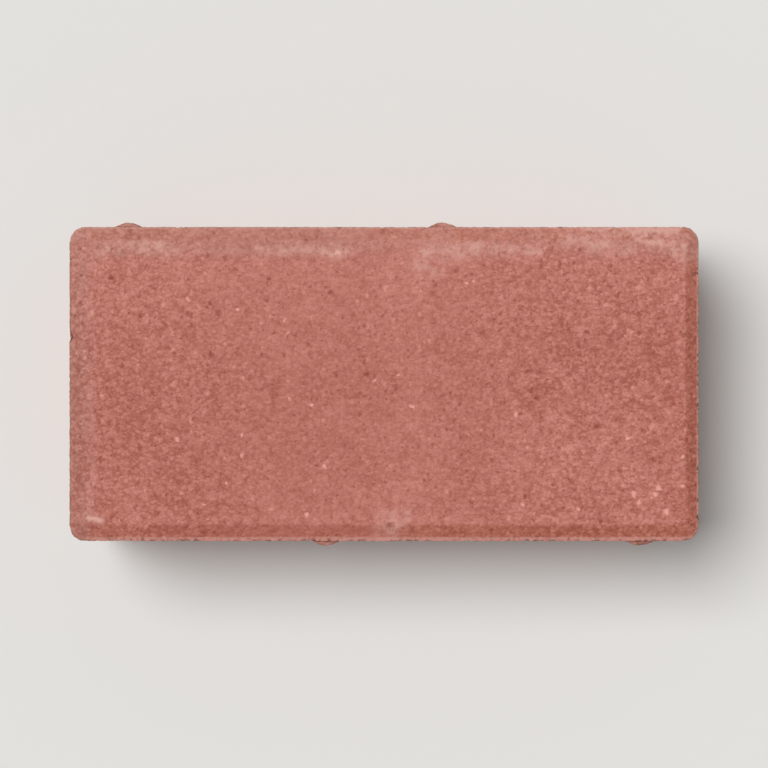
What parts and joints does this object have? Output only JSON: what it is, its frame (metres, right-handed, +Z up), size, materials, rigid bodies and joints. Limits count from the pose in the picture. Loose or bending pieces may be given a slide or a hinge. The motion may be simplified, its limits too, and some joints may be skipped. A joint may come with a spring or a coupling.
{
  "type": "concrete paving stone",
  "caption": "Rectangular red concrete paving stone with rounded corners, a rimmed bevel round its top and half-round spacer nibs on its long sides.",
  "frame": {"origin": "middle of the underside, where the stone lies on its bed", "axes": "+X along the stone's length, +Y across it, +Z up to the walking face"},
  "size_m": [0.2, 0.103, 0.06],
  "materials": {
    "red_concrete": "matte"
  },
  "bodies": {
    "root": {"paving_stone": "red_concrete"}
  },
  "joints": []
}
